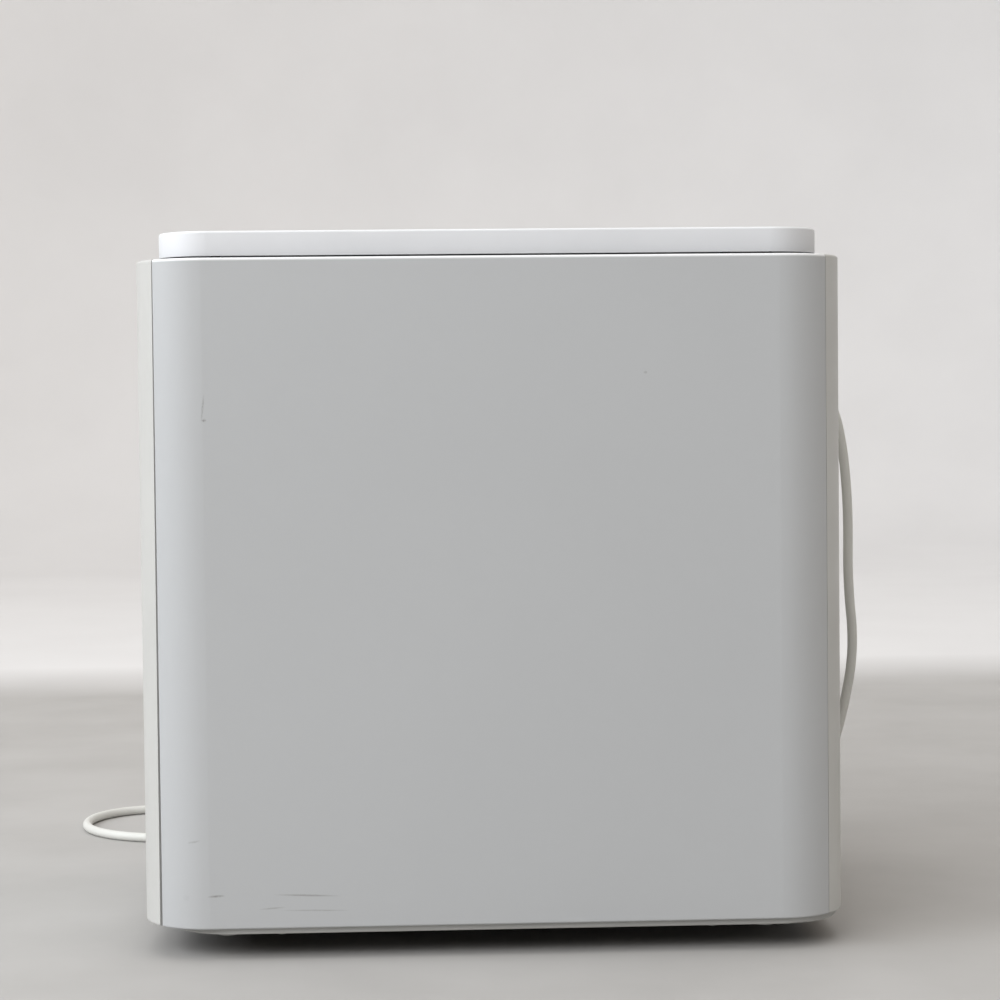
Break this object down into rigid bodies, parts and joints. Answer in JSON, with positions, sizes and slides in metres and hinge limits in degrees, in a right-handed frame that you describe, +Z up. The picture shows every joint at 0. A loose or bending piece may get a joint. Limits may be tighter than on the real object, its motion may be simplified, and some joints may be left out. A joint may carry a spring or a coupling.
{
  "type": "trash compactor",
  "caption": "Free-standing drawer trash compactor: rounded white cabinet, full-height drawer front, lifting service lid, chain-driven screw ram and mains lead.",
  "frame": {"origin": "on the floor under the centre of the cabinet", "axes": "+Z up, -Y towards the user (the drawer opens along -Y), +X to the cabinet's own right side as seen from the front"},
  "size_m": [0.5723, 0.6032, 0.4586],
  "materials": {
    "white_paint": "satin off-white powder coat",
    "white_shell": "fine-textured warm white moulding",
    "lid_white": "smooth satin white moulding",
    "pan_grey": "satin light grey moulding",
    "deck_grey": "fine-textured mid grey moulding",
    "galvanised": "galvanised sheet",
    "rubber_black": "moulded rubber",
    "screw_zinc": "zinc-plated",
    "slide_steel": "zinc-plated, lightly greased",
    "bin_grey": "scuffed dark grey moulding",
    "ring_black": "satin black moulding",
    "ram_paint": "dark grey hammered paint",
    "bronze": "oiled bronze",
    "acetal": "natural acetal",
    "screw_steel": "rolled and oiled",
    "gear_steel": "oiled, blackened",
    "motor_paint": "satin dark grey enamel",
    "fan_plastic": "black nylon",
    "capacitor_can": "drawn can",
    "terminal_cream": "cream phenolic",
    "board_green": "solder mask",
    "start_green": "polished",
    "stop_red": "polished",
    "lens_amber": "tinted lens",
    "lock_chrome": "plated",
    "bag_film": "rolled film",
    "deodoriser_grey": "fine-textured moulding",
    "loom_black": "braided sleeve",
    "cord_white": "soft white PVC"
  },
  "bodies": {
    "chassis": {"base_pan": "pan_grey", "rubber_feet": "rubber_black", "case_screws": "screw_zinc", "side_frame_left": "galvanised", "side_frame_right": "galvanised", "drive_deck": "galvanised", "bulkhead": "galvanised", "top_frame": "galvanised", "top_deck": "deck_grey", "side_panel_left": "white_paint", "side_panel_right": "white_paint", "rear_cover": "white_shell", "hinge_brackets": "galvanised", "hinge_pins": "screw_zinc", "lid_bumpers": "rubber_black", "control_console": "deck_grey", "control_board": "board_green", "lamp_lens": "lens_amber", "key_barrel": "lock_chrome", "bag_tray": "deck_grey", "bag_roll": "bag_film", "deodoriser": "deodoriser_grey", "slide_rails": "slide_steel", "shaft_bushes": "bronze", "drive_chain": "gear_steel", "motor_plate": "galvanised", "motor": "motor_paint", "capacitor": "capacitor_can", "terminal_block": "terminal_cream", "wiring_loom": "loom_black", "cord_gland": "cord_white", "mains_cord": "cord_white", "cord_coil": "cord_white", "mains_plug": "cord_white"},
    "lid": {"lid": "lid_white"},
    "drawer": {"drawer_front": "white_shell", "pull_cup": "deck_grey", "drawer_plate": "galvanised", "bin_carrier": "galvanised", "bin": "bin_grey", "bag_ring": "ring_black", "slide_runners": "slide_steel"},
    "slide_middle": {"slide_middles": "slide_steel"},
    "ram": {"ram_platen": "ram_paint", "ram_column": "ram_paint", "ram_beam": "ram_paint", "power_nuts": "bronze", "guide_shoes": "acetal"},
    "screw_left": {"power_screw_left": "screw_steel", "sprocket_left": "gear_steel"},
    "screw_right": {"power_screw_right": "screw_steel", "sprocket_right": "gear_steel"},
    "gear_shaft": {"drive_gear": "gear_steel", "drive_shaft": "screw_steel", "drive_sprocket": "gear_steel"},
    "motor_rotor": {"motor_pinion": "screw_steel", "motor_fan": "fan_plastic"},
    "start_button": {"start_button": "start_green"},
    "stop_button": {"stop_button": "stop_red"},
    "lock_key": {"lock_key": "lock_chrome"}
  },
  "joints": [
    {"name": "lid_hinge", "type": "hinge", "parent": "chassis", "child": "lid", "pos_m": [0, 0.2, 0.446], "axis": [-1, 0, 0], "range_deg": [0, 100]},
    {"name": "drawer_slide", "type": "slide", "parent": "chassis", "child": "drawer", "axis": [0, -1, 0], "range_m": [0, 0.2985]},
    {"name": "slide_extension", "type": "slide", "parent": "chassis", "child": "slide_middle", "axis": [0, -1, 0], "range_m": [0, 0.15]},
    {"name": "ram_travel", "type": "slide", "parent": "chassis", "child": "ram", "axis": [0, 0, -1], "range_m": [0, 0.12]},
    {"name": "screw_left_spin", "type": "hinge", "parent": "chassis", "child": "screw_left", "pos_m": [-0.149, -0.047, 0.2], "axis": [0, 0, 1], "range_deg": [0, 2880]},
    {"name": "screw_right_spin", "type": "hinge", "parent": "chassis", "child": "screw_right", "pos_m": [0.149, -0.047, 0.2], "axis": [0, 0, 1], "range_deg": [0, 2880]},
    {"name": "gear_spin", "type": "hinge", "parent": "chassis", "child": "gear_shaft", "pos_m": [0.02, 0.165, 0.05], "axis": [0, 0, 1], "range_deg": [0, 2880]},
    {"name": "motor_spin", "type": "hinge", "parent": "chassis", "child": "motor_rotor", "pos_m": [-0.0364, 0.165, 0.05], "axis": [0, 0, 1], "range_deg": [-11520, 0]},
    {"name": "start_press", "type": "slide", "parent": "chassis", "child": "start_button", "axis": [0, 0, -1], "range_m": [0, 0.003], "stiffness_N_per_m": 400},
    {"name": "stop_press", "type": "slide", "parent": "chassis", "child": "stop_button", "axis": [0, 0, -1], "range_m": [0, 0.003], "stiffness_N_per_m": 400},
    {"name": "key_turn", "type": "hinge", "parent": "chassis", "child": "lock_key", "pos_m": [0.042, -0.15, 0.44], "axis": [0, 0, -1], "range_deg": [0, 90]}
  ],
  "couplings": [
    {"joint": "slide_extension", "follows": "drawer_slide", "ratio": 0.5},
    {"joint": "screw_left_spin", "follows": "ram_travel", "rad_per_m": 418.88},
    {"joint": "screw_right_spin", "follows": "ram_travel", "rad_per_m": 418.88},
    {"joint": "gear_spin", "follows": "ram_travel", "rad_per_m": 418.88},
    {"joint": "motor_spin", "follows": "ram_travel", "rad_per_m": -1675.5}
  ]
}
